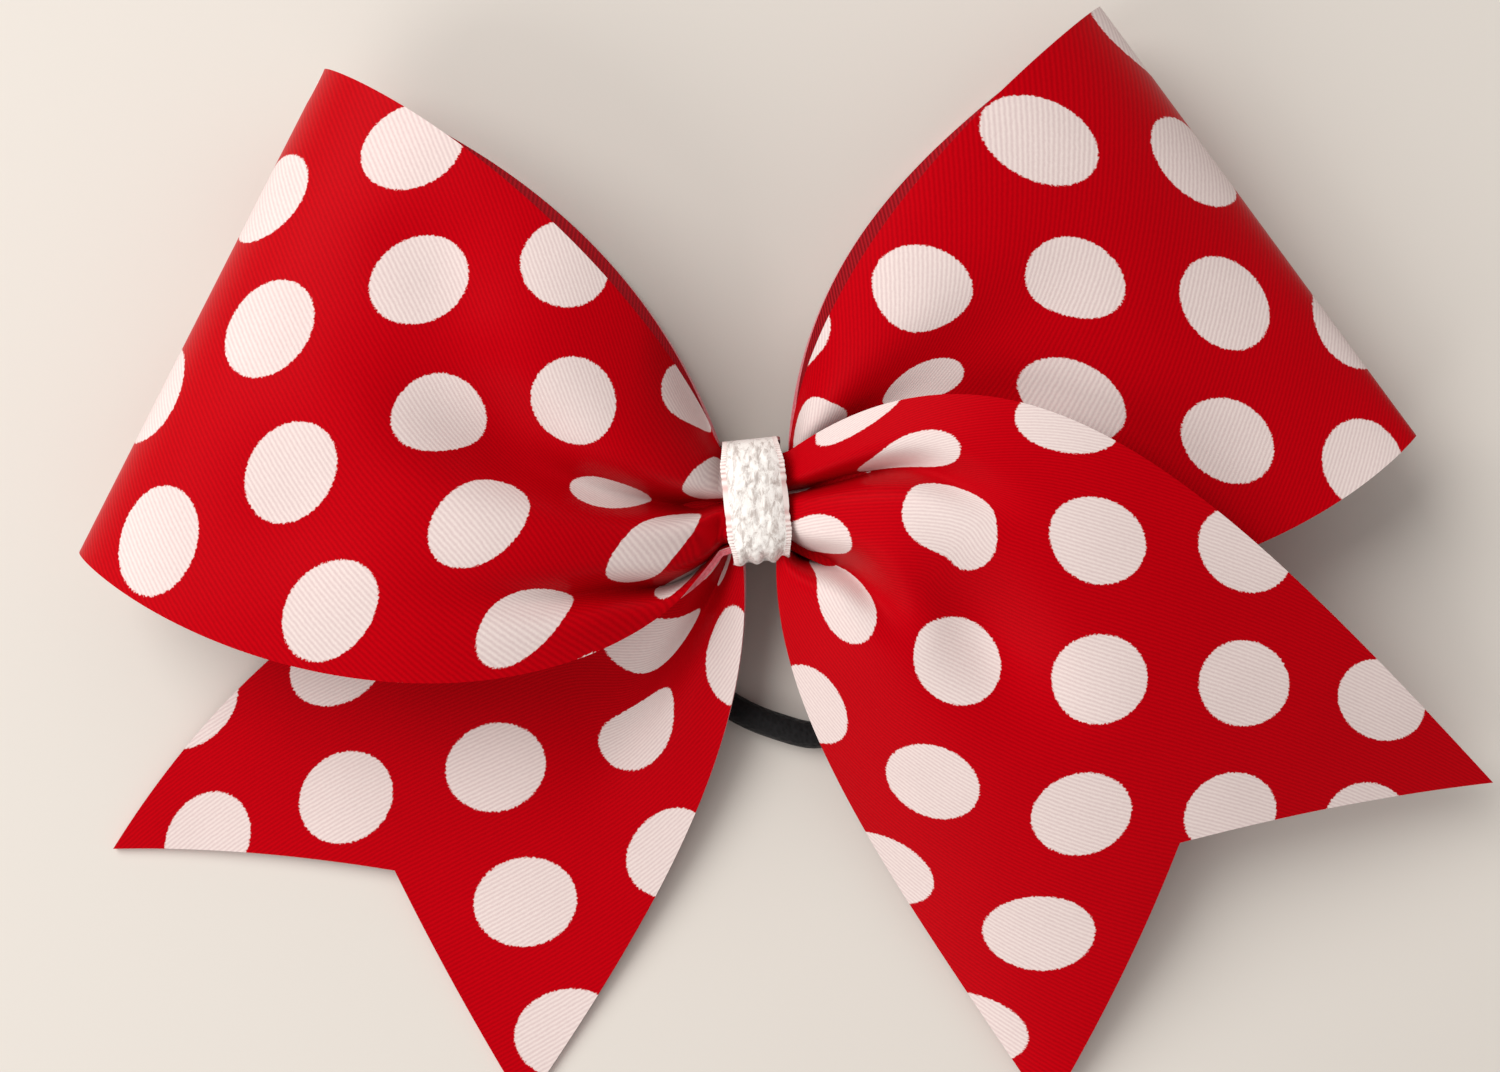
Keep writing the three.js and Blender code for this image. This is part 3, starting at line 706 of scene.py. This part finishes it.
def crushed_velvet():
    """Crushed pile lies in patches that face different ways, so it sparkles white and grey.
    Its base colour is painted white and grey in these patches, as painted sheen and shade.
    """
    material, shader = new_material("crushed_velvet", Sheen_Weight=0.5, Sheen_Roughness=0.3,
                                    Specular_IOR_Level=0.6)
    place = node(material, "ShaderNodeTexCoord")
    stretch = node(material, "ShaderNodeMapping", Vector=(place, "Object"), Scale=(1.6, 0.7, 0.7))
    patch = node(material, "ShaderNodeTexNoise", Vector=stretch, Scale=PATCHES_PER_MM / MM,
                 Detail=5.0, Roughness=0.7, Distortion=0.6)
    pile = node(material, "ShaderNodeTexNoise", Vector=(place, "Object"), Scale=PILE_PER_MM / MM,
                Detail=3.0)
    # Painted sheen and shade: each patch of pile gets a colour from grey to near white, as it looks
    # lit or in shade.
    tone = node(material, "ShaderNodeValToRGB", Fac=patch)
    dark, light = tone.color_ramp.elements
    dark.position, dark.color = 0.38, linear("C2B8B3")
    light.position, light.color = 0.55, linear("FAF7F4")
    grain = node(material, "ShaderNodeMapRange", Value=pile, To_Min=0.84, To_Max=1.1)
    shade = node(material, "ShaderNodeVectorMath", {"operation": "SCALE"}, i0=tone, Scale=grain)
    connect(material, shade, shader, "Base Color")
    gloss = node(material, "ShaderNodeMapRange", Value=patch, To_Min=0.6, To_Max=0.28)
    connect(material, gloss, shader, "Roughness")
    height = node(material, "ShaderNodeMix", {"data_type": "FLOAT"}, i0=0.5, i2=patch, i3=pile)
    bump = node(material, "ShaderNodeBump", Height=height, Strength=0.5, Distance=0.14 * MM)
    connect(material, bump, shader, "Normal")
    return material


def corded_selvage():
    """The velvet's woven edge: a pale cord whose stitches make beads, with red glinting through."""
    material, shader = new_material("corded_selvage", Roughness=0.7, Specular_IOR_Level=0.3)
    uv = node(material, "ShaderNodeUVMap", {"uv_map": "ribbon"})
    beads = node(material, "ShaderNodeTexWave", {"bands_direction": "X"}, Vector=uv,
                 Scale=wave_scale(BEAD_PITCH), Distortion=0.3)
    pink = node(material, "ShaderNodeMix", {"data_type": "RGBA"}, i0=(beads, "Fac"),
                i6=linear("DDBDBA"), i7=linear("F8EFEC"))
    connect(material, (pink, 2), shader, "Base Color")
    bump = node(material, "ShaderNodeBump", Height=(beads, "Fac"), Strength=0.6, Distance=0.15 * MM)
    connect(material, bump, shader, "Normal")
    return material


deselect_all()
bpy.ops.mesh.primitive_grid_add(x_subdivisions=WRAP_ROWS, y_subdivisions=WRAP_COLUMNS, size=2)
wrap = bpy.context.active_object
wrap.name = wrap.data.name = "velvet_wrap"
flat = np.array([v.co for v in wrap.data.vertices])
turns, across = (flat[:, 0] + 1) / 2 * WRAP_TURNS, (flat[:, 1] + 1) / 2
wrap.data.vertices.foreach_set("co", (wrap_points(turns, across) * MM).ravel())
wrap.data.update()
bpy.ops.object.mode_set(mode="EDIT")
bpy.ops.mesh.select_all(action="SELECT")
bpy.ops.transform.rotate(value=-WRAP_TURN, orient_axis="Z", center_override=(0, 0, 0))
bpy.ops.object.mode_set(mode="OBJECT")
wrap.data.materials.append(crushed_velvet())
wrap.data.materials.append(corded_selvage())
set_measure(wrap, turns * WRAP_MEASURE, across * WRAP_WIDTH)
for face in wrap.data.polygons:
    place = np.mean([across[v] for v in face.vertices])
    face.material_index = int(min(place, 1 - place) < 1.6 / WRAP_COLUMNS)  # the outer two columns
thicken(wrap, WRAP_THICKNESS, 0)
print("wrap is", [round(d / MM, 1) for d in wrap.dimensions], "mm")

# %% [markdown]
# The nylon tie and the glue are frame parts that hardly show. They keep their shapes and get
# the finish of what they are: natural nylon, cloudy and slightly soft in its shine, and hot-melt
# glue, paler and glossier.

# %% Nylon and hot-melt glue
CLOUDS_PER_MM = 0.35


def cloudy_plastic(name, low, high, roughness):
    material, shader = new_material(name, Roughness=roughness, Subsurface_Weight=0.15,
                                    Subsurface_Radius=(1.0 * MM, 0.9 * MM, 0.7 * MM))
    place = node(material, "ShaderNodeTexCoord")
    cloud = node(material, "ShaderNodeTexNoise", Vector=(place, "Object"), Scale=CLOUDS_PER_MM / MM,
                 Detail=3.0)
    tone = node(material, "ShaderNodeMix", {"data_type": "RGBA"}, i0=cloud,
                i6=linear(low), i7=linear(high))
    connect(material, (tone, 2), shader, "Base Color")
    bump = node(material, "ShaderNodeBump", Height=cloud, Strength=0.3, Distance=0.1 * MM)
    connect(material, bump, shader, "Normal")
    return material


def refinish(name, material):
    """Puts a material on a frame part."""
    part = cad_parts[name]
    if not part.material_slots:
        part.data.materials.append(material)
    for slot in part.material_slots:
        slot.material = material
    print(name, "is", material.name)


refinish("cable_tie", cloudy_plastic("natural_nylon", "DAD6C8", "EFECE2", 0.38))
refinish("wrap_glue", cloudy_plastic("hot_melt_glue", "E2D8BA", "F2EBD4", 0.25))

# %% [markdown]
# The floor is a plain pale card. The light is soft daylight from the left: a broad lamp from the
# upper left, a weaker one from the lower left, and a bright even sky that keeps shadows faint.

# %% Floor and light
FLOOR_SIZE = 4.0  # in metres
DAYLIGHT = "FFFCF8"
SKY, SKY_STRENGTH = "F2EEEA", 0.5


def area_light(name, place, size, power):
    """A round lamp that faces the bow. place and size are in metres, and power is in watts."""
    data = bpy.data.lights.new(name, "AREA")
    data.shape, data.size, data.energy = "DISK", size, power
    data.color = linear(DAYLIGHT)[:3]
    lamp = bpy.data.objects.new(name, data)
    lamp.location = place
    lamp.rotation_euler = (-Vector(place)).to_track_quat("-Z", "Y").to_euler()
    bpy.context.scene.collection.objects.link(lamp)


deselect_all()
bpy.ops.mesh.primitive_plane_add(size=FLOOR_SIZE, location=(0, 0, 0))
floor = bpy.context.active_object
floor.name = "floor"
card, _ = new_material("pale_card", Roughness=0.9, Base_Color=linear("DAD5CF"),
                       Specular_IOR_Level=0.2)
floor.data.materials.append(card)
area_light("window", (-0.55, 0.42, 0.72), 0.8, 8.2)
area_light("doorway", (-0.6, -0.55, 0.55), 0.7, 3.4)
world = bpy.data.worlds.new("sky")
world.use_nodes = True
background = world.node_tree.nodes["Background"]
background.inputs["Color"].default_value = linear(SKY)
background.inputs["Strength"].default_value = SKY_STRENGTH
bpy.context.scene.world = world
bpy.context.scene.view_settings.view_transform = "Standard"

# %% [markdown]
# Last, both plies of each lobe are baked in place, and the frame parts that they stand for
# are hidden. The wrap and the elastic are tied to frame bodies, and their frame parts are
# hidden too.


def declare_lobe(pieces, name, nodes):
    """Bakes both plies of a lobe in place, and hides the frame parts that they stand for."""
    face, back, length = pieces
    for piece, ply_name, slot in ((face, "print", "printed_satin"), (back, "backing", "grosgrain")):
        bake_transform(piece)
        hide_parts(f"{name}_{ply_name}", *nodes.get(ply_name, []))


declare_lobe(left_loop, "left_loop",
             {"print": ["gather_front"], "backing": ["gather_rear"]})
declare_lobe(right_loop, "right_loop", {"print": ["gather_middle"]})
declare_lobe(left_tail, "left_tail", {})
declare_lobe(right_tail, "right_tail", {})

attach(wrap, "knot")
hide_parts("centre_wrap")

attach(elastic, "hair_elastic")
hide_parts("elastic_cover", "elastic_core", "elastic_joint")
